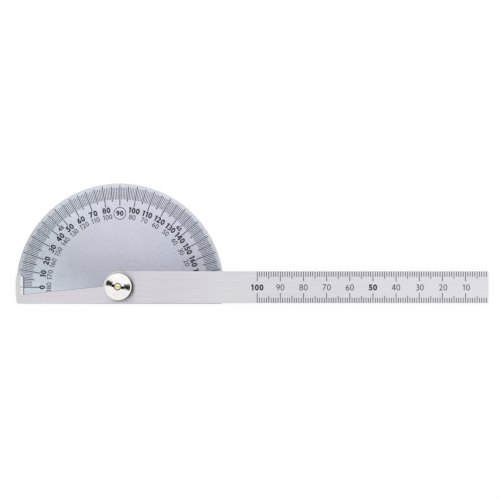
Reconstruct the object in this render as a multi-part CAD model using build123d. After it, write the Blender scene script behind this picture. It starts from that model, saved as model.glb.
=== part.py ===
from build123d import *
import math
import os

os.makedirs("parts", exist_ok=True)

# A flat protractor with a long swinging rule, sizes in millimetres.
# The origin is on the pivot axis, in the flat back that lies on the table.
# +X runs along the rule to its end, +Y to the 90 degree mark, +Z up through the nut.

# Semicircular plate
plate_radius = 45.0
plate_thickness = 1.0
base_edge_below_rule = 0.3
plate_corner_radius = 0.8
plate_edge_break = 0.12

# Swinging rule: blade, round lobe about the pivot, tapered tail and index tab
rule_width = 13.8
rule_reach = 159.5
rule_thickness = 1.0
rule_over_plate = 0.05
rule_tip_radius = 0.4
rule_edge_break = 0.12
lobe_bulge = 0.4
tail_rise_at_pivot = 1.12
tail_fall_at_tab = -3.2
tab_inner_edge = 41.7
tab_top = 5.0
tab_corner_cut = 0.9
index_bevel_width = 1.1
index_bevel_depth = 0.3
window_bevel_width = 0.35
window_bevel_depth = 0.22

# Stud: flat head let into the back, keyed neck, journal and threaded end
head_radius = 4.0
head_depth = 0.5
neck_radius = 3.0
neck_flats = 4.8
seat_gap = 0.02
journal_radius = 2.5
journal_clearance = 0.03
journal_shortfall = 0.05
thread_radius = 1.5
stud_end_chamfer = 0.35
stud_end_dome = 0.15
stud_end_above_hub = 0.1

# Spring washer, pressed flat while the nut is tight
washer_outer_radius = 4.6
washer_hole_clearance = 0.15
washer_thickness = 0.3
washer_edge_break = 0.06

# Knurled clamp nut with a low domed face and a slotted round hub
nut_radius = 6.0
nut_height = 3.8
nut_bore_clearance = 0.05
nut_foot_chamfer = 0.4
nut_rim_width = 0.5
nut_rim_drop = 0.45
nut_rim_edge = 0.2
nut_rim_step = 0.06
nut_face_rise = 0.22
knurl_teeth = 72
knurl_depth = 0.2
hub_radius = 2.6
hub_height = 0.85
hub_dome = 0.5
hub_slot_width = 1.05
hub_slot_above_face = 0.03
hub_slot_angle = -12.0

# How far a cutting solid runs past the faces that it cuts, and how near counts as touching
cut_overrun = 1.0
touching = 0.01

# Levels of the stack, from the back upwards
rule_bottom = plate_thickness + rule_over_plate
rule_top = rule_bottom + rule_thickness
nut_bottom = rule_top + washer_thickness
nut_rim_top = nut_bottom + nut_height
hub_top = nut_rim_top + hub_height
stud_end = hub_top + stud_end_above_hub

half_width = rule_width / 2
lobe_radius = half_width + lobe_bulge
base_edge_drop = half_width + base_edge_below_rule


def turned(outline):
    """A turned solid: the outline holds radius and height, and goes round the pivot axis."""
    return revolve(Plane.XZ * make_face(outline), Axis.Z)


def keyed_neck(radius, flats, bottom, height):
    """A round neck with two flats that stop it from turning."""
    outline = Circle(radius) & Rectangle(2 * radius, flats)
    return Pos(0, 0, bottom) * extrude(outline, height)


def top_rim(solid):
    """The edges round the outside of the highest flat face."""
    return solid.faces().sort_by(Axis.Z)[-1].outer_wire().edges()


def make_protractor_plate():
    beyond = plate_radius + base_edge_drop
    below_edge = Pos(0, -base_edge_drop - beyond / 2) * Rectangle(2 * beyond, beyond)
    outline = Circle(plate_radius) - below_edge
    plate = extrude(outline, plate_thickness)
    end_corners = plate.edges().filter_by(Axis.Z)
    plate = fillet(end_corners, plate_corner_radius)
    plate = chamfer(top_rim(plate), plate_edge_break)
    plate -= Cylinder(head_radius + seat_gap, 2 * head_depth)
    plate -= keyed_neck(neck_radius + seat_gap, neck_flats + 2 * seat_gap, 0, 2 * plate_thickness)
    return plate


def blade_outline():
    blade = Pos(rule_reach / 2, 0) * Rectangle(rule_reach, rule_width)
    tip_corners = blade.vertices().group_by(Axis.X)[-1]
    return fillet(tip_corners, rule_tip_radius)


def tail_outline():
    """The tapered bar and the upright tab, ended by the plate's own radius."""
    past_end = -2 * plate_radius
    outline = Polyline(
        (0, -half_width),
        (0, tail_rise_at_pivot),
        (-tab_inner_edge, tail_fall_at_tab),
        (-tab_inner_edge, tab_top - tab_corner_cut),
        (-tab_inner_edge - tab_corner_cut, tab_top),
        (past_end, tab_top),
        (past_end, -half_width),
        close=True,
    )
    return make_face(outline) & Circle(plate_radius)


def beside_the_window(edge):
    """True for the edges along the tail and up the round lobe."""
    middle = edge.center()
    between_tab_and_pivot = touching - tab_inner_edge < middle.X < 0
    above_lower_edge = middle.Y > touching - half_width
    return between_tab_and_pivot and above_lower_edge


def bevelled(arm, edges):
    """The same arm with a narrow sloped bevel along the given top edges."""
    top_face = arm.faces().sort_by(Axis.Z)[-1]
    return chamfer(edges, window_bevel_width, window_bevel_depth, reference=top_face)


def index_wedge():
    """What is cut away to slope the tab down to its inner edge, for reading without parallax."""
    crease = -tab_inner_edge - index_bevel_width
    section = Polyline(
        (crease, rule_top),
        (-tab_inner_edge, rule_top - index_bevel_depth),
        (-tab_inner_edge, rule_top + cut_overrun),
        (crease, rule_top + cut_overrun),
        close=True,
    )
    height = tab_top - tail_fall_at_tab + cut_overrun
    return Pos(0, tail_fall_at_tab, 0) * extrude(Plane.XZ * make_face(section), -height)


def lobe_outline():
    """A round swelling on the upper side only: the lower edge runs straight through."""
    across = 2 * lobe_radius
    above_lower_edge = Rectangle(across, across, align=(Align.CENTER, Align.MIN))
    return Circle(lobe_radius) & Pos(0, -half_width) * above_lower_edge


def make_rule_arm():
    outline = blade_outline() + lobe_outline() + tail_outline()
    arm = Pos(0, 0, rule_bottom) * extrude(outline, rule_thickness)
    arm = bevelled(arm, [edge for edge in top_rim(arm) if beside_the_window(edge)])
    outer_edges = [edge for edge in top_rim(arm) if not beside_the_window(edge)]
    arm = chamfer(outer_edges, rule_edge_break) - index_wedge()
    return arm - Cylinder(journal_radius + journal_clearance, 2 * (rule_top + cut_overrun))


def make_pivot_stud():
    """Head, keyed neck, journal and threaded end in one piece, with a slightly domed end."""
    head = Pos(0, 0, head_depth / 2) * Cylinder(head_radius, head_depth)
    neck = keyed_neck(neck_radius, neck_flats, head_depth, plate_thickness - head_depth)
    journal_top = rule_top - journal_shortfall
    end_radius = thread_radius - stud_end_chamfer
    dome_foot = stud_end - stud_end_dome
    side = Polyline(
        (0, stud_end),
        (0, plate_thickness),
        (journal_radius, plate_thickness),
        (journal_radius, journal_top),
        (thread_radius, journal_top),
        (thread_radius, dome_foot - stud_end_chamfer),
        (end_radius, dome_foot),
    )
    dome_radius = (end_radius**2 + stud_end_dome**2) / (2 * stud_end_dome)
    dome = RadiusArc((end_radius, dome_foot), (0, stud_end), -dome_radius)
    return head + neck + turned(side + dome)


def make_spring_washer():
    hole_radius = thread_radius + washer_hole_clearance
    washer = Cylinder(washer_outer_radius, washer_thickness) - Cylinder(hole_radius, washer_thickness)
    edges = washer.edges().filter_by(GeomType.CIRCLE)
    return Pos(0, 0, rule_top + washer_thickness / 2) * chamfer(edges, washer_edge_break)


def knurl_outline():
    """A star outline: the tips lie on the nut's radius, the roots one knurl depth inside."""
    points = []
    for half_tooth in range(2 * knurl_teeth):
        radius = nut_radius - knurl_depth * (half_tooth % 2)
        angle = math.pi * half_tooth / knurl_teeth
        points.append((radius * math.cos(angle), radius * math.sin(angle)))
    return make_face(Polyline(*points, close=True))


def cap_height(radius, edge_radius, rise):
    """Height of a spherical cap over its own edge, at a distance from its axis."""
    ball_radius = (edge_radius**2 + rise**2) / (2 * rise)
    return math.sqrt(ball_radius**2 - radius**2) - ball_radius + rise


def cap_arc(edge_radius, inner_radius, rise, edge_height):
    """The section of a spherical cap, from its edge in to a smaller radius."""
    radii = (edge_radius, (edge_radius + inner_radius) / 2, inner_radius)
    points = [(radius, edge_height + cap_height(radius, edge_radius, rise)) for radius in radii]
    return ThreePointArc(*points)


def make_clamp_nut():
    """A turned body cut back to the knurl, then bored and slotted across its hub."""
    rim_side = nut_rim_top - nut_rim_drop
    face_edge = nut_radius - nut_rim_edge - nut_rim_width
    side = Polyline(
        (0, nut_bottom),
        (nut_radius - nut_foot_chamfer, nut_bottom),
        (nut_radius, nut_bottom + nut_foot_chamfer),
        (nut_radius, rim_side - nut_rim_edge),
        (nut_radius - nut_rim_edge, rim_side),
        (face_edge, nut_rim_top - nut_rim_step),
        (face_edge, nut_rim_top),
    )
    face = cap_arc(face_edge, hub_radius, nut_face_rise, nut_rim_top)
    hub = cap_arc(hub_radius, 0, hub_dome, hub_top - hub_dome)
    body = turned(side + face + Line(face @ 1, hub @ 0) + hub + Line(hub @ 1, side @ 0))
    knurl = Pos(0, 0, nut_bottom) * extrude(knurl_outline(), nut_height + hub_height)
    nut = body & knurl
    slot_depth = hub_top - (face @ 1).Y - hub_slot_above_face
    slot = Pos(0, 0, hub_top) * Box(2 * hub_radius, hub_slot_width, 2 * slot_depth)
    nut -= Rot(0, 0, hub_slot_angle) * slot
    return nut - Cylinder(thread_radius + nut_bore_clearance, 2 * (hub_top + cut_overrun))


if __name__ == "__main__":
    pieces = {
        "protractor_plate": make_protractor_plate(),
        "pivot_stud": make_pivot_stud(),
        "rule_arm": make_rule_arm(),
        "spring_washer": make_spring_washer(),
        "clamp_nut": make_clamp_nut(),
    }
    for node, solid in pieces.items():
        export_step(solid, f"parts/{node}.step")
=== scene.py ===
import math

import bmesh
import bpy
import numpy as np
from bpy.props import FloatProperty, FloatVectorProperty, PointerProperty
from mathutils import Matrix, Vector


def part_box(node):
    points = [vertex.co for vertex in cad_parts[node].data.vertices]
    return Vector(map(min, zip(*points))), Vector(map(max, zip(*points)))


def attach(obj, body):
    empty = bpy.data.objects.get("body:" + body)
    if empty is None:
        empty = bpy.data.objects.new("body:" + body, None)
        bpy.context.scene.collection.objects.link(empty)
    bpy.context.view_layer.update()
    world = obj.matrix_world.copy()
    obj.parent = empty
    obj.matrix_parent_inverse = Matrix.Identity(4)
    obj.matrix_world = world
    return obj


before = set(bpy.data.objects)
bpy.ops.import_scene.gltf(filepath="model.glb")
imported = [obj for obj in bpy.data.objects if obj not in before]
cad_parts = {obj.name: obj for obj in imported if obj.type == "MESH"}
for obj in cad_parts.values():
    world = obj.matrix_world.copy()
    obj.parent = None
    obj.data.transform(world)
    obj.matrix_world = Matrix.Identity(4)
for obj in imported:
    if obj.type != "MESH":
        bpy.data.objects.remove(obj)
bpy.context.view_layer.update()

bl_info = {
    "name": "Protractor with swinging rule",
    "version": (1, 0, 0),
    "blender": (4, 5, 0),
    "location": "View3D > Sidebar > Protractor",
    "description": "Graduations, figures, metal finishes and a plain studio for a workshop protractor",
    "category": "Object",
}

MM = 0.001

# Levels and ends that come from the solids
PLATE_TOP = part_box("protractor_plate")[1].z
PLATE_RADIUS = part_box("protractor_plate")[1].y
RULE_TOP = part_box("rule_arm")[1].z
RULE_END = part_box("rule_arm")[1].x
NUT_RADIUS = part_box("clamp_nut")[1].x

# Every etched mark stands this far proud of its sheet, and starts this far inside it
INK_PROUD = 0.008 * MM
INK_SUNK = 0.004 * MM

# The two scales: where a mark is longer or has a figure, and which figures are bold or set off
DEGREES = 180
RIGHT_ANGLE = 90
MITRES = (45, 135)
LONG_STEP = 10
MIDDLE_STEP = 5
FIRST_HUNDRED = 100
BOLD_STEP = 50
LAST_SET_OFF = 30

# Figures are made this thick, and past these weights the strokes of the 3 and 8 would run together
GLYPH_DEPTH = 1.0
HEAVIEST = {"3": 0.026, "8": 0.032}

# Places on the nut and the stud where their tone, with its painted shade and painted dark reflections,
# changes, and how softly
RIM_EDGE = 0.2 * MM
HUB_RADIUS = 2.6 * MM
SLOT_WIDTH = 1.05 * MM
SLOT_ANGLE = math.radians(-12.0)
THREAD_RADIUS = 1.5 * MM
THREAD_CHAMFER = 0.35 * MM
# Width of the painted dark reflection across the stud's end
DARK_BAND_WIDTH = 0.4 * MM
# Stretch of the knurl, by direction from the axis, with a painted dark reflection
DARK_REFLECTION_START = math.radians(-30.0)
DARK_REFLECTION_END = math.radians(14.0)
DARK_REFLECTION_BLUR = math.radians(44.0)
EDGE_BLUR = 0.04 * MM

# The plate's painted light, lighter and cooler at its left end and lighter up its middle, changes at
# these shares of its length from the left end, which drift a little
LEFT_TO_MIDDLE = (0.1, 0.5)
MIDDLE_TO_RIGHT = (0.6, 0.95)
DRIFT = 0.1

# Painted shade: a darker strip of the plate runs along the rule, and fades out towards the left end
STRIP_WIDTH = 0.35 * PLATE_RADIUS
STRIP_FADE = (0.2, 0.45)
STRIP_SHADE = 0.9
RIM_WIDTH = 1.2 * MM

# The rule's tones change at these places along X, with a painted pinkish reflection on the tail, and
# its brushing swings about them
TAB_TO_TAIL = (-0.95 * PLATE_RADIUS, -0.85 * PLATE_RADIUS)
TAIL_TO_END = (0.15 * RULE_END, 0.28 * RULE_END)
STREAK_TONES = (0.95, 1.05)
STREAK_ROUGHNESS = 0.05

# Tones of painted shade on the steel's upright sides and lower bevel halves, and of painted highlight
# on upper bevel halves and the index slope, and how far down a bevel the painted highlight reaches
EDGE_SHADE_TONE = (0.2, 0.2, 0.23)
EDGE_HIGHLIGHT_TONE = (0.86, 0.85, 0.89)
TAB_TONE = (0.75, 0.75, 0.765)
HIGHLIGHT_DEPTH = 0.12 * MM

# Turned metal swings in tone and roughness with its grooves, has a haze, and painted shade dulls its
# gloss
GROOVE_TONES = (0.97, 1.03)
GROOVE_ROUGHNESS = (0.85, 1.15)
HAZE_TINT = (0.95, 0.9, 0.89)
HAZE_MOST = 0.5
UNSHADED_GLOSS = (1.0, 1.0, 1.0)
SHADED_GLOSS = (0.05, 0.05, 0.06)

# Patches of the ink are this much lighter
INK_PATCH = 2.2

# Scales of the noise in each surface, and how it is drawn out along X, Y and Z
DRIFT_SCALE = 45.0
GRAIN_SCALE = 9000.0
STREAK_SCALE = 60.0
GROOVE_SCALE = 9000.0
HAZE_SCALE = 700.0
INK_SCALE = 2500.0
FLOOR_SCALE = 3.0
EVEN = (1.0, 1.0, 1.0)
GRAIN_STRETCH = (1.0, 1.0, 0.2)
STREAK_STRETCH = (1.0, 60.0, 60.0)

# The floor's half length, how far it lies under the plate, and its tones and glow
FLOOR_REACH = 3.0
FLOOR_DROP = 0.02 * MM
FLOOR_CELLS = 8
FLOOR_TONES = ((0.15, 0.15, 0.15), (0.16, 0.16, 0.16))
FLOOR_GLOW = 0.87

# The tent's near side brightens to its full light between these, and the gap's ends fade more softly
NEAR_TO_FAR = (-0.1, 0.15)
END_SOFTNESS = 5


def length(name, description, millimetres):
    """A size that a user may change, kept in metres and shown in scene units."""
    return FloatProperty(
        name=name, description=description, default=millimetres * MM, unit="LENGTH", precision=5
    )


def angle(name, description, degrees):
    """An angle that a user may change."""
    return FloatProperty(
        name=name, description=description, default=math.radians(degrees), subtype="ANGLE"
    )


def share(name, description, default):
    """A plain factor between nothing and all."""
    return FloatProperty(name=name, description=description, default=default, min=0.0, max=1.0)


def colour(name, description, default):
    """A linear colour that a user may change."""
    return FloatVectorProperty(
        name=name, description=description, default=default, size=3, subtype="COLOR", min=0.0, max=1.0
    )


class DegreeScaleSettings(bpy.types.PropertyGroup):
    """Sizes of the scale that runs round the plate."""

    one_inner: length("Degree mark, inner end", "Radius where a 1 degree mark starts", 38.1)
    one_outer: length("Degree mark, outer end", "Radius where a 1 degree mark ends", 43.3)
    one_width: length("Degree mark width", "Line width of a 1 degree mark", 0.245)
    five_inner: length("5 degree mark, inner end", "Radius where a 5 degree mark starts", 37.2)
    five_outer: length("5 degree mark, outer end", "Radius where a 5 degree mark ends", 43.75)
    ten_inner: length("10 degree mark, inner end", "Radius where a 10 degree mark starts", 35.1)
    ten_outer: length("10 degree mark, outer end", "Radius where a 10 degree mark ends", 44.1)
    ten_width: length("10 degree mark width", "Line width of a 5 or 10 degree mark", 0.36)
    outer_height: length("Outer figure height", "Height of the bold outer figures", 2.55)
    outer_radius: length("Outer figure radius", "Radius of the bold figures' middles", 33.7)
    hundreds_lead: length("Lead of 100 to 180", "How far the bold 100 to 180 sit past their marks", 0.3)
    inner_height: length("Inner figure height", "Height of the light inner figures", 2.15)
    inner_radius: length("Inner figure radius", "Radius of the light figures' middles", 30.8)
    square_height: length("Right angle figure height", "Height of the ringed 90", 2.3)
    square_radius: length("Right angle figure radius", "Radius of the ringed 90's middle", 32.05)
    ring_outer: length("Ring radius", "Outer radius of the ring round the 90", 2.72)
    ring_width: length("Ring width", "Line width of the ring round the 90", 0.28)
    mitre_height: length("Mitre figure height", "Height of the small 45 figures", 1.8)
    mitre_radius: length("Mitre figure radius", "Radius of the small 45 figures' middles", 36.1)


class RuleScaleSettings(bpy.types.PropertyGroup):
    """Sizes of the millimetre scale on the rule and of the index line on its tab."""

    rule_width: length("Rule width", "Width of the rule across its two long edges", 13.8)
    edge_break: length("Edge break", "Width of the small chamfer along the rule's edges", 0.12)
    graduated: length("Graduated length", "Length of the scale from the rule's end", 100.0)
    upper_one: length("Upper 1 mm mark", "Length of a 1 mm mark on the upper edge", 2.4)
    upper_five: length("Upper 5 mm mark", "Length of a 5 mm mark on the upper edge", 3.3)
    upper_ten: length("Upper 10 mm mark", "Length of a 10 mm mark on the upper edge", 4.35)
    lower_one: length("Lower 1 mm mark", "Length of a 1 mm mark on the lower edge", 2.3)
    lower_five: length("Lower 5 mm mark", "Length of a 5 mm mark on the lower edge", 3.15)
    lower_ten: length("Lower 10 mm mark", "Length of a 10 mm mark on the lower edge", 4.35)
    mark_width: length("Mark width", "Line width of every mark on the rule", 0.31)
    figure_height: length("Figure height", "Height of the rule's figures", 2.65)
    figure_drop: length("Figure drop", "How far the figures sit below the rule's middle line", 0.12)
    first_lead: length("Lead of 10 to 30", "How far the figures 10, 20 and 30 sit towards the end", 0.3)
    index_edge: length("Index edge", "Distance of the tab's inner edge from the pivot", 41.7)
    index_bevel_width: length("Index bevel width", "Width of the slope along the tab's edge", 1.1)
    index_bevel_depth: length("Index bevel depth", "How far the slope falls to the tab's edge", 0.3)
    index_inner: length("Index line, inner end", "Distance of the line's start from the pivot", 41.75)
    index_outer: length("Index line, outer end", "Distance of the line's end from the pivot", 42.95)
    index_width: length("Index line width", "Line width of the index line", 0.2)


class FinishSettings(bpy.types.PropertyGroup):
    """Colours and surface of each metal and of the ink."""

    plate_colour: colour("Plate", "Satin steel of the plate's right side", (0.635, 0.676, 0.79))
    # Painted light: the plate's middle is lighter, and its left end lighter and cooler, than its right
    # side
    plate_middle_colour: colour("Plate, middle", "Lighter steel up its middle", (0.75, 0.76, 0.88))
    plate_left_colour: colour("Plate, left", "Cooler steel at its left end", (0.79, 0.865, 0.955))
    plate_rim_colour: colour("Plate, rim", "Plain steel outside the degree marks", (0.75, 0.765, 0.805))
    plate_smooth: share("Smooth grains", "Roughness of the satin steel's smoother grains", 0.08)
    plate_rough: share("Rough grains", "Roughness of the satin steel's rougher grains", 0.4)
    rule_colour: colour("Rule", "Brushed steel of the rule's graduated end", (0.8, 0.8, 0.845))
    # Painted reflection: the tail is tinted pinker than the graduated end
    rule_tail_colour: colour("Rule, tail", "Brushed steel up to past the pivot", (0.78, 0.74, 0.8))
    rule_roughness: share("Rule roughness", "Roughness of the brushed steel", 0.38)
    rule_anisotropy: share("Rule anisotropy", "How much the brushing spreads reflections", 0.8)
    nut_colour: colour("Nut", "Bright nickel plate of the nut", (0.98, 0.96, 0.93))
    nut_roughness: share("Nut roughness", "Roughness of the turned nickel", 0.07)
    # Painted shade on the knurl: its corner with the rim, and darker down its teeth
    corner_colour: colour("Knurl's corner", "Dull metal between knurl and rim", (0.38, 0.36, 0.4))
    knurl_colour: colour("Knurl", "Greyed metal down the teeth of the knurl", (0.3, 0.28, 0.31))
    # Painted dark reflection on a stretch of the knurl
    oil_colour: colour("Oil", "Dark oil in a stretch of the knurl", (0.02, 0.017, 0.03))
    # Painted shade in the nut's slot and hole
    slot_colour: colour("Slot", "Oil and dust in the nut's slot and hole", (0.03, 0.014, 0.008))
    # Painted shadow round the stud's thread and its chamfer
    thread_colour: colour("Thread", "Duller brass at the stud's thread", (0.34, 0.31, 0.16))
    brass_colour: colour("Stud", "Bright brass of the stud", (0.94, 0.92, 0.66))
    # Painted dark reflection in a line over the stud's end
    worn_colour: colour("Worn brass", "Browner brass in a line over the stud's end", (0.72, 0.6, 0.3))
    brass_roughness: share("Stud roughness", "Roughness of the turned brass", 0.1)
    washer_colour: colour("Washer", "Spring steel of the washer", (0.5, 0.5, 0.52))
    ink_colour: colour("Ink", "Black that fills the etched marks", (0.014, 0.014, 0.024))


class StudioSettings(bpy.types.PropertyGroup):
    """Camera and light for a straight look down on the protractor."""

    aim_x: length("Aim X", "Middle of the view, along the rule", 56.39)
    aim_y: length("Aim Y", "Middle of the view, across the rule", 16.15)
    camera_y: length("Camera Y", "How far the camera stands to the near side", -14.0)
    camera_height: length("Camera height", "Height of the camera over the plate", 325.0)
    view_width: length("View width", "Width of the view at the plate", 216.7)
    tent_strength: FloatProperty(
        name="Tent strength", description="Brightness of the white tent all round", default=1.0, min=0.0
    )
    tent_near: share("Tent's near side", "Brightness of the tent's near side, as a share", 0.9)
    gap_turn: angle("Gap turn", "Turn of the tent's dark gap about the vertical", -12.0)
    gap_middle: angle("Gap middle", "How far the gap's middle lies beyond straight overhead", 1.6)
    gap_width: angle("Gap width", "Width of the gap at its waist", 2.6)
    gap_waist: angle("Gap's waist", "Where the gap is narrowest, from straight overhead", -9.5)
    gap_flare: share("Gap flare", "How fast the gap grows wider from its waist to its ends", 0.22)
    gap_taper: share("Gap taper", "How much faster it grows wider towards +X", 0.04)
    gap_left: angle("Gap's left end", "Where the gap starts, from straight overhead", -26.0)
    gap_right: angle("Gap's right end", "Where the gap stops, from straight overhead", 8.0)
    gap_softness: angle("Gap softness", "Width over which the gap's edges fade", 0.6)
    gap_tone: share("Gap tone", "Brightness in the gap, as a share of the tent's", 0.01)


def joined(shapes):
    """One list of corners and one of faces from several shapes, each face's numbers moved on."""
    vertices = []
    faces = []
    for shape_vertices, shape_faces in shapes:
        faces += (shape_faces + len(vertices)).tolist()
        vertices += shape_vertices.tolist()
    return vertices, faces


def mesh_object(name, vertices, faces, material):
    """A mesh with its material, in the scene at the origin."""
    mesh = bpy.data.meshes.new(name)
    mesh.from_pydata(vertices, [], faces)
    mesh.validate()
    mesh.update()
    mesh.materials.append(material)
    made = bpy.data.objects.new(name, mesh)
    bpy.context.scene.collection.objects.link(made)
    return made


def mesh_piece(name, shapes, body, material):
    """A finished piece at the origin, made of the given shapes, that moves with a body."""
    vertices, faces = joined(shapes)
    piece = mesh_object(name, vertices, faces, material)
    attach(piece, body)


def at_level(points, level):
    """Flat points lifted to one height."""
    return np.column_stack([points, np.full(len(points), level)])


def bars(starts, ends, widths):
    """Thin closed slabs along straight lines on a surface.

    A slab's corner is one end of its line, plus or minus half the width across the line, just under
    or just over the surface. Arrays of n starts and ends, with the surface's height, give n slabs.
    """
    along = (ends - starts)[:, :2]
    along = along / np.linalg.norm(along, axis=1, keepdims=True)
    across = np.stack([-along[:, 1], along[:, 0], 0 * along[:, 0]], axis=1) * (widths / 2)[:, None]
    ring = np.stack([starts - across, ends - across, ends + across, starts + across], axis=1)
    up = np.array([0.0, 0.0, 1.0])
    vertices = np.concatenate([ring - INK_SUNK * up, ring + INK_PROUD * up], axis=1)
    box_faces = np.array(
        [[3, 2, 1, 0], [4, 5, 6, 7], [0, 1, 5, 4], [1, 2, 6, 5], [2, 3, 7, 6], [3, 0, 4, 7]]
    )
    faces = box_faces[None] + 8 * np.arange(len(ring))[:, None, None]
    return vertices.reshape(-1, 3), faces.reshape(-1, 4)


def walls(sections, next_sections):
    """Faces from each four-cornered section to the next: one for each side of the section."""
    corner = np.arange(4)
    next_corner = (corner + 1) % 4
    near, far = 4 * sections[:, None], 4 * next_sections[:, None]
    faces = np.stack([near + corner, near + next_corner, far + next_corner, far + corner], axis=2)
    return faces.reshape(-1, 4)


def bent_bar(points, width):
    """One thin closed slab along a path that runs towards +X and bends up or down.

    A corner is a point of the path, plus or minus half the width along Y, just under or just over it.
    """
    section = np.array([[-1, -INK_SUNK], [1, -INK_SUNK], [1, INK_PROUD], [-1, INK_PROUD]])
    offsets = np.column_stack([np.zeros(4), section[:, 0] * width / 2, section[:, 1]])
    vertices = (points[:, None, :] + offsets[None]).reshape(-1, 3)
    steps = np.arange(len(points))
    last = 4 * steps[-1]
    ends = np.array([[3, 2, 1, 0], [last, last + 1, last + 2, last + 3]])
    return vertices, np.concatenate([walls(steps[:-1], steps[1:]), ends])


def ring_slab(centre, outer, width, surface, count=120):
    """A flat closed ring: a rectangle of the line's width and depth, carried round the centre.

    The corner (radius, height) at angle t stands at centre + radius * (cos t, sin t), at its height.
    """
    inner = outer - width
    top, bottom = surface + INK_PROUD, surface - INK_SUNK
    profile = np.array([[inner, top], [outer, top], [outer, bottom], [inner, bottom]])
    turn = np.linspace(0, 2 * np.pi, count, endpoint=False)[:, None]
    x = centre[0] + profile[None, :, 0] * np.cos(turn)
    y = centre[1] + profile[None, :, 0] * np.sin(turn)
    z = np.broadcast_to(profile[None, :, 1], x.shape)
    vertices = np.stack([x, y, z], axis=2).reshape(-1, 3)
    steps = np.arange(count)
    return vertices, walls(steps, (steps + 1) % count)


def one_outline(stem):
    """The figure one, one unit high: an upright stem with a flag that slopes down to its left."""
    flag_reach = 0.2
    flag_tip = 0.86
    flag_root = 0.9
    right = flag_reach + stem
    return [
        (flag_reach, 0.0),
        (right, 0.0),
        (right, 1.0),
        (flag_reach + 0.2 * stem, 1.0),
        (0.0, flag_tip),
        (0.3 * stem, flag_tip - 0.8 * stem),
        (flag_reach, flag_root - 0.55 * stem),
    ]


def four_outlines(stem):
    """The figure four, one unit high: its outer line, and the triangle that its strokes enclose.

    A slope runs down from the peak to the bar's left end, with its inner line one stroke inside it.
    """
    stroke = 0.85 * stem
    bar_bottom = 0.22
    bar_top = bar_bottom + stroke
    bar_overhang = 0.1
    stem_left = 0.36
    stem_right = stem_left + stem
    right = stem_right + bar_overhang
    peak = stem_right - 1.1 * stem
    slope = (1.0 - bar_top) / peak
    inner_foot = stroke * math.hypot(1.0, slope) / slope
    inner_peak = bar_top + slope * (stem_left - inner_foot)
    outer = [
        (stem_left, 0.0),
        (stem_right, 0.0),
        (stem_right, bar_bottom),
        (right, bar_bottom),
        (right, bar_top),
        (stem_right, bar_top),
        (stem_right, 1.0),
        (peak, 1.0),
        (0.0, bar_top),
        (0.0, bar_bottom),
        (stem_left, bar_bottom),
    ]
    return outer, [(inner_foot, bar_top), (stem_left, bar_top), (stem_left, inner_peak)]


def outlined_curve(outlines):
    """A flat filled curve inside the first closed outline and outside the others."""
    curve = bpy.data.curves.new("figure", "CURVE")
    curve.dimensions = "2D"
    curve.fill_mode = "BOTH"
    for outline in outlines:
        spline = curve.splines.new("POLY")
        spline.points.add(len(outline) - 1)
        spline.points.foreach_set("co", np.array([(x, y, 0, 1) for x, y in outline]).ravel())
        spline.use_cyclic_u = True
    return curve


def figure_curve(character, weight):
    """A flat filled curve of one figure; weight thickens or thins its strokes, in units of its size."""
    natural_stem = 0.098
    natural_height = 0.69
    stem = (natural_stem + 2 * weight) / (natural_height + 2 * weight)
    if character == "1":
        return outlined_curve([one_outline(stem)])
    if character == "4":
        return outlined_curve(four_outlines(stem))
    curve = bpy.data.curves.new("figure", "FONT")
    curve.body = "6" if character == "9" else character
    curve.offset = min(weight, HEAVIEST.get(character, weight))
    curve.resolution_u = 5
    return curve


def figure_solid(character, weight):
    """Corners and triangles of one figure, scaled to a height of 1, with its left foot at the origin.

    The nine is the six, given half a turn.
    """
    curve = figure_curve(character, weight)
    curve.extrude = GLYPH_DEPTH / 2
    holder = bpy.data.objects.new("figure", curve)
    bpy.context.scene.collection.objects.link(holder)
    mesh = bpy.data.meshes.new_from_object(holder)
    bpy.data.objects.remove(holder)
    bpy.data.curves.remove(curve)
    work = bmesh.new()
    work.from_mesh(mesh)
    bmesh.ops.remove_doubles(work, verts=work.verts, dist=1e-5)
    bmesh.ops.recalc_face_normals(work, faces=work.faces)
    bmesh.ops.triangulate(work, faces=work.faces)
    work.to_mesh(mesh)
    work.free()
    corners = np.empty(len(mesh.vertices) * 3)
    mesh.vertices.foreach_get("co", corners)
    corners = corners.reshape(-1, 3)
    triangles = np.empty(len(mesh.polygons) * 3, dtype=int)
    mesh.polygons.foreach_get("vertices", triangles)
    bpy.data.meshes.remove(mesh)
    if character == "9":
        corners[:, :2] *= -1
    foot = corners[:, :2].min(axis=0)
    height = np.ptp(corners[:, 1])
    corners[:, :2] = (corners[:, :2] - foot) / height
    return corners, triangles.reshape(-1, 3)


class FigureSet:
    """Figures of one weight, made once each and then set into numbers.

    The gap lies between two figures, and after_one is more room beside a one, in units of height.
    """

    def __init__(self, weight, gap, after_one):
        self.gap = gap
        self.solids = {character: figure_solid(character, weight) for character in "0123456789"}
        self.widths = {character: np.ptp(solid[0][:, 0]) for character, solid in self.solids.items()}
        self.widths["1"] += after_one

    def number(self, text, height, centre, turn, surface):
        """A number about its middle: its figures stand side by side, then scale, turn and move."""
        widths = [self.widths[character] for character in text]
        total = sum(widths) + self.gap * (len(text) - 1)
        left = -total / 2
        vertices = []
        faces = []
        count = 0
        for character, width in zip(text, widths):
            corners, triangles = self.solids[character]
            flat = (corners[:, :2] + [left, -0.5]) * height
            x = centre[0] + flat[:, 0] * math.cos(turn) - flat[:, 1] * math.sin(turn)
            y = centre[1] + flat[:, 0] * math.sin(turn) + flat[:, 1] * math.cos(turn)
            z = np.where(corners[:, 2] > 0, surface + INK_PROUD, surface - INK_SUNK)
            vertices.append(np.stack([x, y, z], axis=1))
            faces.append(triangles + count)
            count += len(corners)
            left += width + self.gap
        return np.concatenate(vertices), np.concatenate(faces)


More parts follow.
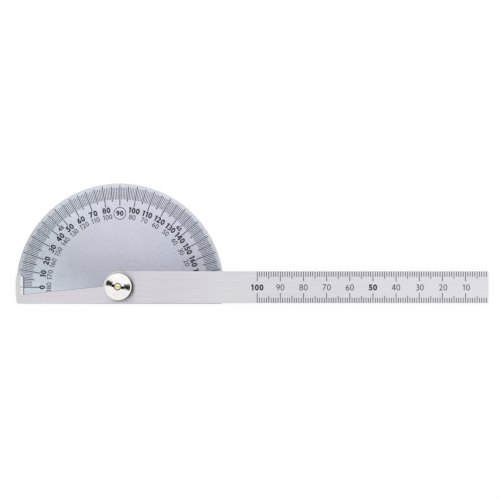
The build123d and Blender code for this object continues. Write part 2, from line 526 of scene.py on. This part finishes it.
def new_material(name, metallic=0.0):
    """A node material, with its tree and its shader."""
    material = bpy.data.materials.new(name)
    material.use_nodes = True
    shader = material.node_tree.nodes["Principled BSDF"]
    shader.inputs["Metallic"].default_value = metallic
    return material, material.node_tree, shader


def feed(tree, value, socket):
    """Gives an input its value: a node's output is linked, a plain number, vector or colour is set."""
    if isinstance(value, bpy.types.NodeSocket):
        tree.links.new(value, socket)
    elif socket.type == "RGBA":
        socket.default_value = (*value, 1.0)
    else:
        socket.default_value = value


def add_node(tree, kind, **values):
    """A node of that kind; each value goes to the attribute or the input of its name."""
    node = tree.nodes.new(kind)
    for key, value in values.items():
        if key in node.inputs:
            feed(tree, value, node.inputs[key])
        else:
            setattr(node, key, value)
    return node


def object_place(tree):
    """The place on the surface, in the object's own axes."""
    return add_node(tree, "ShaderNodeTexCoord").outputs["Object"]


def parted(tree, vector):
    """A vector's X, Y and Z, by name."""
    return add_node(tree, "ShaderNodeSeparateXYZ", Vector=vector).outputs


def parted_aslant(tree, vector, turn):
    """A vector's X, Y and Z along axes that stand turned about the vertical."""
    mapping = add_node(tree, "ShaderNodeMapping", Vector=vector, Rotation=(0.0, 0.0, -turn))
    return parted(tree, mapping.outputs["Vector"])


def from_the_axis(tree, place):
    """The level way out from the pivot axis to a place, and its length."""
    flat = add_node(tree, "ShaderNodeVectorMath", operation="MULTIPLY", Vector=place)
    flat.inputs[1].default_value = (1.0, 1.0, 0.0)
    outward = flat.outputs["Vector"]
    radius = add_node(tree, "ShaderNodeVectorMath", operation="LENGTH", Vector=outward)
    return outward, radius.outputs["Value"]


def stretched_noise(tree, scale, stretch=EVEN, detail=3.0):
    """Noise in object space, scaled apart along each axis, so that it runs in streaks or stays even."""
    mapping = add_node(tree, "ShaderNodeMapping", Vector=object_place(tree), Scale=stretch)
    place = mapping.outputs["Vector"]
    return add_node(tree, "ShaderNodeTexNoise", Vector=place, Scale=scale, Detail=detail).outputs["Fac"]


def ramp(tree, factor, low, high, start=0.3, end=0.7):
    """A colour that runs from low to high as the factor goes from start to end."""
    node = add_node(tree, "ShaderNodeValToRGB", Fac=factor)
    node.color_ramp.elements[0].position = start
    node.color_ramp.elements[1].position = end
    node.color_ramp.elements[0].color = (*low, 1.0)
    node.color_ramp.elements[1].color = (*high, 1.0)
    return node.outputs["Color"]


def spread(tree, factor, low, high, start=0.3, end=0.7):
    """A number that runs from low to high as the factor goes from start to end."""
    limits = {"From Min": start, "From Max": end, "To Min": low, "To Max": high}
    return add_node(tree, "ShaderNodeMapRange", Value=factor, **limits).outputs["Result"]


def calculated(tree, operation, first, second=0.0):
    """A sum, product or such of two numbers, each an output of a node or a plain value."""
    node = add_node(tree, "ShaderNodeMath", operation=operation)
    feed(tree, first, node.inputs[0])
    feed(tree, second, node.inputs[1])
    return node.outputs["Value"]


def between(tree, value, low, high, soft):
    """One where a value lies between two limits and nothing outside them, with soft edges."""
    off_middle = calculated(tree, "ABSOLUTE", calculated(tree, "SUBTRACT", value, (low + high) / 2))
    half = (high - low) / 2
    return spread(tree, off_middle, 1.0, 0.0, half - soft / 2, half + soft / 2)


def blended(tree, factor, first, second):
    """A colour that goes from the first to the second; each is an output or a plain colour."""
    node = add_node(tree, "ShaderNodeMix", data_type="RGBA", Factor=factor)
    for name, value in (("A", first), ("B", second)):
        socket = next(item for item in node.inputs if item.name == name and item.type == "RGBA")
        feed(tree, value, socket)
    return next(item for item in node.outputs if item.type == "RGBA")


def tinted(base, factor):
    """A colour made lighter or darker by one factor."""
    return tuple(min(1.0, channel * factor) for channel in base)


def bump(tree, shader, height, strength, distance):
    """A bump from a height, put on the shader."""
    node = add_node(tree, "ShaderNodeBump", Height=height, Strength=strength, Distance=distance)
    tree.links.new(node.outputs["Normal"], shader.inputs["Normal"])


def draw_out(tree, shader, direction, anisotropy):
    """Brushing that draws reflections out: its direction, in the object's axes, goes to the shader."""
    tangent = add_node(
        tree,
        "ShaderNodeVectorTransform",
        vector_type="VECTOR",
        convert_from="OBJECT",
        convert_to="WORLD",
        Vector=direction,
    )
    tree.links.new(tangent.outputs["Vector"], shader.inputs["Tangent"])
    shader.inputs["Anisotropic"].default_value = anisotropy


def upright_sides(tree):
    """One on the faces that stand upright, nothing on those that lie flat."""
    surface = add_node(tree, "ShaderNodeNewGeometry")
    tilt = parted(tree, surface.outputs["True Normal"])["Z"]
    most = 0.5
    return between(tree, tilt, -most, most, most / 5)


def cut_edges(tree, tone):
    """The sheet's tone, with painted shade where its sides stand upright."""
    return blended(tree, upright_sides(tree), tone, EDGE_SHADE_TONE)


def satin_steel(finish):
    """Satin steel with painted light, lighter and cooler to its left end and lighter up its middle, and
    a painted shade strip along the rule; its tone drifts over the plate, and fine grains are both
    smooth and rough.
    """
    material, tree, shader = new_material("satin_steel", metallic=1.0)
    place = object_place(tree)
    split = parted(tree, place)
    drift = spread(tree, stretched_noise(tree, DRIFT_SCALE, detail=2.0), -DRIFT, DRIFT)
    from_left = spread(tree, split["X"], 0.0, 1.0, -PLATE_RADIUS, PLATE_RADIUS)
    side = calculated(tree, "ADD", from_left, drift)
    # Painted light: lighter and cooler at the left end, lighter up the middle, the plate's own colour
    # at the right
    tone = ramp(tree, side, finish.plate_left_colour, finish.plate_middle_colour, *LEFT_TO_MIDDLE)
    to_right = spread(tree, side, 0.0, 1.0, *MIDDLE_TO_RIGHT)
    tone = blended(tree, to_right, tone, finish.plate_colour)
    # Painted shade in a strip along the rule
    by_rule = spread(tree, split["Y"], 1.0, 0.0, 0.0, STRIP_WIDTH)
    past_left = spread(tree, side, 0.0, 1.0, *STRIP_FADE)
    strip = calculated(tree, "MULTIPLY", by_rule, past_left)
    tone = blended(tree, strip, tone, tinted(finish.plate_colour, STRIP_SHADE))
    _, radius = from_the_axis(tree, place)
    rim = between(tree, radius, PLATE_RADIUS - RIM_WIDTH, 2 * PLATE_RADIUS, RIM_WIDTH)
    tone = blended(tree, rim, tone, finish.plate_rim_colour)
    feed(tree, cut_edges(tree, tone), shader.inputs["Base Color"])
    grain = stretched_noise(tree, GRAIN_SCALE, GRAIN_STRETCH)
    roughness = spread(tree, grain, finish.plate_smooth, finish.plate_rough)
    feed(tree, roughness, shader.inputs["Roughness"])
    bump(tree, shader, grain, strength=0.04, distance=0.02 * MM)
    return material


def brushed_steel(finish, scale):
    """Steel brushed along the rule: noise drawn out along X, in tone, roughness and height.

    The upper half of its bevels has a painted highlight, the lower half and the sides painted shade,
    the whole slope along the tab's index edge a painted highlight, and the tail a painted pinkish
    reflection.
    """
    material, tree, shader = new_material("brushed_steel", metallic=1.0)
    streaks = stretched_noise(tree, STREAK_SCALE, STREAK_STRETCH, detail=4.0)
    split = parted(tree, object_place(tree))
    # Painted reflection: the tail is tinted pinker than the graduated end
    from_tail = spread(tree, split["X"], 0.0, 1.0, *TAIL_TO_END)
    tail, end = finish.rule_tail_colour, finish.rule_colour
    dull, bright = (
        ramp(tree, from_tail, tinted(tail, swing), tinted(end, swing), 0.0, 1.0)
        for swing in STREAK_TONES
    )
    tone = blended(tree, spread(tree, streaks, 0.0, 1.0), dull, bright)
    on_tab = spread(tree, split["X"], 1.0, 0.0, *TAB_TO_TAIL)
    tone = blended(tree, on_tab, tone, TAB_TONE)
    # Painted highlight on the upper half of each bevel, painted shade on its lower half
    bevel_top = RULE_TOP - EDGE_BLUR / 4
    bevel_middle = RULE_TOP - HIGHLIGHT_DEPTH
    highlighted_part = between(tree, split["Z"], bevel_middle, bevel_top, EDGE_BLUR / 2)
    tone = blended(tree, highlighted_part, tone, EDGE_HIGHLIGHT_TONE)
    shaded_part = between(tree, split["Z"], 0.0, bevel_middle, EDGE_BLUR)
    tone = blended(tree, shaded_part, tone, EDGE_SHADE_TONE)
    # Painted highlight down the slope along the tab's index edge
    by_index = between(tree, split["X"], -PLATE_RADIUS, -scale.index_edge, EDGE_BLUR)
    slope_foot = RULE_TOP - scale.index_bevel_depth
    sloping = between(tree, split["Z"], slope_foot, RULE_TOP - EDGE_BLUR, EDGE_BLUR)
    tone = blended(tree, calculated(tree, "MULTIPLY", by_index, sloping), tone, EDGE_HIGHLIGHT_TONE)
    feed(tree, cut_edges(tree, tone), shader.inputs["Base Color"])
    smoothest = finish.rule_roughness - STREAK_ROUGHNESS
    roughness = spread(tree, streaks, smoothest, smoothest + 2 * STREAK_ROUGHNESS)
    feed(tree, roughness, shader.inputs["Roughness"])
    bump(tree, shader, streaks, strength=0.1, distance=0.02 * MM)
    draw_out(tree, shader, (0.0, 1.0, 0.0), finish.rule_anisotropy)
    return material


def turned_metal(name, base, roughness, anisotropy, groove_depth, painted_shades=()):
    """Metal turned on a lathe: grooves run round the pivot axis, with a height that hangs on radius.

    A painted shade is a colour and the function that says where it lies, from the place and the radius.
    """
    material, tree, shader = new_material(name, metallic=1.0)
    place = object_place(tree)
    outward, radius = from_the_axis(tree, place)
    noise = add_node(
        tree, "ShaderNodeTexNoise", noise_dimensions="1D", W=radius, Scale=GROOVE_SCALE, Detail=2.0
    )
    grooves = noise.outputs["Fac"]
    tone = ramp(tree, grooves, *(tinted(base, swing) for swing in GROOVE_TONES))
    patches = stretched_noise(tree, HAZE_SCALE, detail=2.0)
    haze = spread(tree, patches, 0.0, HAZE_MOST, start=0.4, end=0.7)
    tone = blended(tree, haze, tone, [channel * tint for channel, tint in zip(base, HAZE_TINT)])
    gloss = UNSHADED_GLOSS
    for shade_colour, where in painted_shades:
        mask = where(tree, place, radius)
        tone = blended(tree, mask, tone, shade_colour)
        gloss = blended(tree, mask, gloss, SHADED_GLOSS)
    feed(tree, gloss, shader.inputs["Specular Tint"])
    feed(tree, tone, shader.inputs["Base Color"])
    smoothest, roughest = (swing * roughness for swing in GROOVE_ROUGHNESS)
    feed(tree, spread(tree, grooves, smoothest, roughest), shader.inputs["Roughness"])
    bump(tree, shader, grooves, strength=0.15, distance=groove_depth)
    draw_out(tree, shader, outward, anisotropy)
    return material


def in_the_slot(tree, place, radius):
    """The sides and floor of the slot across the nut's hub, which get painted shade."""
    half = SLOT_WIDTH / 2 + 2 * EDGE_BLUR
    beside = between(tree, parted_aslant(tree, place, SLOT_ANGLE)["Y"], -half, half, EDGE_BLUR)
    within = between(tree, radius, -HUB_RADIUS - EDGE_BLUR, HUB_RADIUS + EDGE_BLUR, EDGE_BLUR)
    return calculated(tree, "MULTIPLY", beside, within)


def in_the_bore(tree, place, radius):
    """The wall of the nut's hole, which gets painted shade."""
    return between(tree, radius, -THREAD_RADIUS, THREAD_RADIUS + 2 * EDGE_BLUR, EDGE_BLUR)


def on_the_knurl(tree, place, radius):
    """The nut's grooved side, out to its corner with the bright rim, which gets painted shade."""
    inner = NUT_RADIUS - RIM_EDGE - EDGE_BLUR
    return between(tree, radius, inner, 2 * NUT_RADIUS, EDGE_BLUR)


def down_the_knurl(tree, place, radius):
    """The upright flanks of the knurl's teeth, below its corner, which get a darker painted shade."""
    return calculated(tree, "MULTIPLY", on_the_knurl(tree, place, radius), upright_sides(tree))


def in_the_oil(tree, place, radius):
    """A stretch of the knurl with a painted dark reflection, on the side towards the rule's end."""
    split = parted(tree, place)
    direction = calculated(tree, "ARCTAN2", split["Y"], split["X"])
    stretch = between(tree, direction, DARK_REFLECTION_START, DARK_REFLECTION_END, DARK_REFLECTION_BLUR)
    return calculated(tree, "MULTIPLY", stretch, on_the_knurl(tree, place, radius))


def round_the_thread(tree, place, radius):
    """The chamfer at the stud's end, and the thread below it, which get a painted shadow."""
    return between(tree, radius, THREAD_RADIUS - THREAD_CHAMFER, 2 * THREAD_RADIUS, EDGE_BLUR)


def across_the_end(tree, place, radius):
    """A painted dark reflection in a line over the stud's end, in line with the nut's slot."""
    off_line = parted_aslant(tree, place, SLOT_ANGLE)["Y"]
    return between(tree, off_line, -DARK_BAND_WIDTH / 2, DARK_BAND_WIDTH / 2, DARK_BAND_WIDTH)


def etched_ink(finish):
    """Black that fills the etched marks, a little uneven."""
    material = bpy.data.materials.get("etched_ink")
    if material:
        return material
    material, tree, shader = new_material("etched_ink")
    patches = stretched_noise(tree, INK_SCALE)
    tone = ramp(tree, patches, finish.ink_colour, tinted(finish.ink_colour, INK_PATCH))
    feed(tree, tone, shader.inputs["Base Color"])
    feed(tree, spread(tree, patches, 0.5, 0.7), shader.inputs["Roughness"])
    shader.inputs["Specular IOR Level"].default_value = 0.2
    return material


def light_table():
    """Matt white of a floor that is lit from below, so that shadows hardly show on it."""
    material, tree, shader = new_material("studio_floor")
    tone = ramp(tree, stretched_noise(tree, FLOOR_SCALE), *FLOOR_TONES)
    feed(tree, tone, shader.inputs["Base Color"])
    shader.inputs["Roughness"].default_value = 0.9
    shader.inputs["Specular IOR Level"].default_value = 0.1
    shader.inputs["Emission Color"].default_value = (1.0, 1.0, 1.0, 1.0)
    shader.inputs["Emission Strength"].default_value = FLOOR_GLOW
    return material


class PROTRACTOR_OT_metal_finishes(bpy.types.Operator):
    """Give every solid piece its metal"""

    bl_idname = "protractor.metal_finishes"
    bl_label = "Metal finishes"

    def execute(self, context):
        finish = context.scene.protractor_finish
        finishes = {
            "protractor_plate": satin_steel(finish),
            "rule_arm": brushed_steel(finish, context.scene.protractor_rule),
            "pivot_stud": turned_metal(
                "turned_brass",
                finish.brass_colour,
                finish.brass_roughness,
                anisotropy=0.5,
                groove_depth=0.01 * MM,
                painted_shades=[
                    # Painted dark reflection across the stud's end and painted shadow round its thread
                    (finish.worn_colour, across_the_end),
                    (finish.thread_colour, round_the_thread),
                ],
            ),
            "spring_washer": turned_metal(
                "spring_steel",
                finish.washer_colour,
                roughness=0.35,
                anisotropy=0.3,
                groove_depth=0.01 * MM,
            ),
            "clamp_nut": turned_metal(
                "turned_nickel",
                finish.nut_colour,
                finish.nut_roughness,
                anisotropy=0.5,
                groove_depth=0.002 * MM,
                painted_shades=[
                    # Painted shade on the knurl, slot and hole, and a painted dark reflection on the
                    # knurl
                    (finish.corner_colour, on_the_knurl),
                    (finish.knurl_colour, down_the_knurl),
                    (finish.oil_colour, in_the_oil),
                    (finish.slot_colour, in_the_slot),
                    (finish.slot_colour, in_the_bore),
                ],
            ),
        }
        for node, material in finishes.items():
            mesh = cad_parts[node].data
            mesh.materials.clear()
            mesh.materials.append(material)
        return {"FINISHED"}


class PROTRACTOR_OT_degree_scale(bpy.types.Operator):
    """Etch the degree marks and their two rows of figures on the plate"""

    bl_idname = "protractor.degree_scale"
    bl_label = "Degree scale"

    def execute(self, context):
        scale = context.scene.protractor_degrees
        ink = etched_ink(context.scene.protractor_finish)
        self.marks(scale, ink)
        self.figures(scale, ink)
        return {"FINISHED"}

    def marks(self, scale, ink):
        """A bar for each degree, longer and wider at every fifth and tenth."""
        readings = np.arange(DEGREES + 1)
        ten = readings % LONG_STEP == 0
        five = (readings % MIDDLE_STEP == 0) & ~ten
        inner = np.select([ten, five], [scale.ten_inner, scale.five_inner], scale.one_inner)
        outer = np.select([ten, five], [scale.ten_outer, scale.five_outer], scale.one_outer)
        widths = np.where(ten | five, scale.ten_width, scale.one_width)
        polar = np.radians(DEGREES - readings)
        direction = np.stack([np.cos(polar), np.sin(polar)], axis=1)
        starts = at_level(direction * inner[:, None], PLATE_TOP)
        ends = at_level(direction * outer[:, None], PLATE_TOP)
        mesh_piece("degree_marks", [bars(starts, ends, widths)], "plate", ink)

    def figures(self, scale, ink):
        """Two rows of figures with their feet to the pivot, two small 45s, and a 90 in a ring."""
        bold = FigureSet(weight=0.046, gap=0.07, after_one=0.05)
        light = FigureSet(weight=0.004, gap=0.1, after_one=0.09)
        tens = [r for r in range(0, DEGREES + 1, LONG_STEP) if r != RIGHT_ANGLE]
        leads = {r: scale.hundreds_lead if r >= FIRST_HUNDRED else 0.0 for r in tens}

        def radial(figure_set, text, height, radius, reading, lead=0.0):
            polar = math.radians(DEGREES - reading) - lead / radius
            centre = (radius * math.cos(polar), radius * math.sin(polar))
            return figure_set.number(text, height, centre, polar - math.pi / 2, PLATE_TOP)

        outer_row = [
            radial(bold, str(r), scale.outer_height, scale.outer_radius, r, leads[r]) for r in tens
        ]
        inner_row = [
            radial(light, str(DEGREES - r), scale.inner_height, scale.inner_radius, r) for r in tens
        ]
        mitres = [radial(bold, "45", scale.mitre_height, scale.mitre_radius, r) for r in MITRES]
        right_angle = radial(bold, "90", scale.square_height, scale.square_radius, RIGHT_ANGLE)
        ring = ring_slab((0.0, scale.square_radius), scale.ring_outer, scale.ring_width, PLATE_TOP)
        mesh_piece("outer_figures", outer_row, "plate", ink)
        mesh_piece("inner_figures", inner_row, "plate", ink)
        mesh_piece("mitre_figures", mitres, "plate", ink)
        mesh_piece("right_angle_figure", [right_angle, ring], "plate", ink)


class PROTRACTOR_OT_rule_scale(bpy.types.Operator):
    """Etch the millimetre marks and figures on the rule, and the index line on its tab"""

    bl_idname = "protractor.rule_scale"
    bl_label = "Rule scale"

    def execute(self, context):
        scale = context.scene.protractor_rule
        ink = etched_ink(context.scene.protractor_finish)
        count = round(scale.graduated / MM)
        self.marks(scale, count, ink)
        self.index_line(scale, ink)
        self.figures(scale, count, ink)
        return {"FINISHED"}

    def ranked(self, steps, one, five, ten):
        """The length of each mark, by whether it is at a tenth, a fifth or any other millimetre."""
        return np.select([steps % LONG_STEP == 0, steps % MIDDLE_STEP == 0], [ten, five], one)

    def marks(self, scale, count, ink):
        """A bar for each millimetre on either edge, from the edge break inwards."""
        steps = np.arange(1, count + 1)
        upper = self.ranked(steps, scale.upper_one, scale.upper_five, scale.upper_ten)
        lower = self.ranked(steps, scale.lower_one, scale.lower_five, scale.lower_ten)
        half = scale.rule_width / 2
        edge = np.full(count, half - scale.edge_break)
        x = np.tile(RULE_END - steps * MM, 2)
        starts = np.column_stack([x, np.concatenate([half - upper, -edge])])
        ends = np.column_stack([x, np.concatenate([edge, lower - half])])
        widths = np.full(2 * count, scale.mark_width)
        marks = bars(at_level(starts, RULE_TOP), at_level(ends, RULE_TOP), widths)
        mesh_piece("rule_marks", [marks], "rule", ink)

    def index_line(self, scale, ink):
        """The line that reads the degree scale: flat on the tab, then down its bevel."""
        crease = scale.index_edge + scale.index_bevel_width
        fall = scale.index_bevel_depth * (crease - scale.index_inner) / scale.index_bevel_width
        points = np.array(
            [
                [-scale.index_outer, 0.0, RULE_TOP],
                [-crease, 0.0, RULE_TOP],
                [-scale.index_inner, 0.0, RULE_TOP - fall],
            ]
        )
        mesh_piece("index_line", [bent_bar(points, scale.index_width)], "rule", ink)

    def figures(self, scale, count, ink):
        """The numbers of whole centimetres, in bold at every fifth."""
        bold = FigureSet(weight=0.043, gap=0.08, after_one=0.12)
        light = FigureSet(weight=-0.003, gap=0.11, after_one=0.12)
        heavy = []
        thin = []
        for value in range(LONG_STEP, count + 1, LONG_STEP):
            figure_set, row = (bold, heavy) if value % BOLD_STEP == 0 else (light, thin)
            lead = scale.first_lead if value <= LAST_SET_OFF else 0.0
            centre = (RULE_END - value * MM + lead, -scale.figure_drop)
            row.append(figure_set.number(str(value), scale.figure_height, centre, 0.0, RULE_TOP))
        mesh_piece("rule_bold_figures", heavy, "rule", ink)
        mesh_piece("rule_figures", thin, "rule", ink)


class PROTRACTOR_OT_studio(bpy.types.Operator):
    """Set the white floor, the tent of light and the camera"""

    bl_idname = "protractor.studio"
    bl_label = "Studio"

    def execute(self, context):
        studio = context.scene.protractor_studio
        context.scene.view_settings.view_transform = "Standard"
        self.floor()
        self.tent(context, studio)
        self.camera(context, studio)
        return {"FINISHED"}

    def floor(self):
        """A level grid of square cells, just under the plate."""
        count = FLOOR_CELLS + 1
        line = np.linspace(-FLOOR_REACH, FLOOR_REACH, count)
        x, y = np.meshgrid(line, line, indexing="ij")
        vertices = np.stack([x, y, np.full_like(x, -FLOOR_DROP)], axis=2).reshape(-1, 3)
        row, column = np.meshgrid(np.arange(FLOOR_CELLS), np.arange(FLOOR_CELLS), indexing="ij")
        first = count * row + column
        faces = np.stack([first, first + count, first + count + 1, first + 1], axis=2).reshape(-1, 4)
        mesh_object("studio_floor", vertices.tolist(), faces.tolist(), light_table())

    def tent(self, context, studio):
        """White all round, a little dimmer on the near side, with a narrow dark gap overhead.

        The gap is narrowest at its waist. From there each half of it widens by the flare, times how
        far off the waist a point lies, and by the taper, times how far past the waist it lies.
        """
        world = bpy.data.worlds.new("light_tent")
        world.use_nodes = True
        context.scene.world = world
        tree = world.node_tree
        background = tree.nodes["Background"]
        background.inputs["Strength"].default_value = studio.tent_strength
        upwards = add_node(tree, "ShaderNodeTexCoord").outputs["Generated"]
        split = parted_aslant(tree, upwards, studio.gap_turn)
        soft = math.sin(studio.gap_softness)
        half = math.sin(studio.gap_width / 2)
        past_middle = calculated(tree, "SUBTRACT", split["Y"], math.sin(studio.gap_middle))
        off_middle = calculated(tree, "ABSOLUTE", past_middle)
        past_waist = calculated(tree, "SUBTRACT", split["X"], math.sin(studio.gap_waist))
        off_waist = calculated(tree, "ABSOLUTE", past_waist)
        flare = calculated(tree, "MULTIPLY", off_waist, studio.gap_flare / 2)
        taper = calculated(tree, "MULTIPLY", past_waist, studio.gap_taper / 2)
        widening = calculated(tree, "ADD", flare, taper)
        beyond = calculated(tree, "SUBTRACT", off_middle, widening)
        across = spread(tree, beyond, 1.0, 0.0, half - soft / 2, half + soft / 2)
        left, right = math.sin(studio.gap_left), math.sin(studio.gap_right)
        along = between(tree, split["X"], left, right, END_SOFTNESS * soft)
        gap = calculated(tree, "MULTIPLY", across, along)
        light = spread(tree, split["Y"], studio.tent_near, 1.0, *NEAR_TO_FAR)
        shade = spread(tree, gap, 1.0, studio.gap_tone, 0.0, 1.0)
        tree.links.new(calculated(tree, "MULTIPLY", light, shade), background.inputs["Color"])

    def camera(self, context, studio):
        """It looks straight down, and its lens is shifted, as the photograph's frame needs."""
        data = bpy.data.cameras.new("camera")
        camera = bpy.data.objects.new("camera", data)
        context.scene.collection.objects.link(camera)
        camera.location = (studio.aim_x, studio.camera_y, PLATE_TOP + studio.camera_height)
        data.sensor_width = 36.0
        data.lens = data.sensor_width * studio.camera_height / studio.view_width
        data.shift_y = (studio.aim_y - studio.camera_y) / studio.view_width
        data.clip_start = 0.01
        data.clip_end = 20.0
        context.scene.camera = camera


class PROTRACTOR_PT_panel(bpy.types.Panel):
    """Lists the steps that dress the protractor"""

    bl_idname = "PROTRACTOR_PT_panel"
    bl_label = "Protractor"
    bl_space_type = "VIEW_3D"
    bl_region_type = "UI"
    bl_category = "Protractor"

    def draw(self, context):
        for operator in OPERATORS:
            self.layout.operator(operator.bl_idname)
        for group in SETTINGS:
            box = self.layout.box()
            for name in SETTINGS[group].__annotations__:
                box.prop(getattr(context.scene, group), name)


SETTINGS = {
    "protractor_degrees": DegreeScaleSettings,
    "protractor_rule": RuleScaleSettings,
    "protractor_finish": FinishSettings,
    "protractor_studio": StudioSettings,
}
OPERATORS = (
    PROTRACTOR_OT_metal_finishes,
    PROTRACTOR_OT_degree_scale,
    PROTRACTOR_OT_rule_scale,
    PROTRACTOR_OT_studio,
)


def register():
    """Makes the classes known to Blender, and gives each scene its settings."""
    for group, settings in SETTINGS.items():
        bpy.utils.register_class(settings)
        setattr(bpy.types.Scene, group, PointerProperty(type=settings))
    for operator in OPERATORS:
        bpy.utils.register_class(operator)
    bpy.utils.register_class(PROTRACTOR_PT_panel)


def unregister():
    """Takes back what register has done, in the opposite order."""
    bpy.utils.unregister_class(PROTRACTOR_PT_panel)
    for operator in reversed(OPERATORS):
        bpy.utils.unregister_class(operator)
    for group, settings in SETTINGS.items():
        delattr(bpy.types.Scene, group)
        bpy.utils.unregister_class(settings)


def main():
    """Dresses the protractor."""
    register()
    bpy.ops.protractor.metal_finishes()
    bpy.ops.protractor.degree_scale()
    bpy.ops.protractor.rule_scale()
    bpy.ops.protractor.studio()


if __name__ == "__main__":
    main()
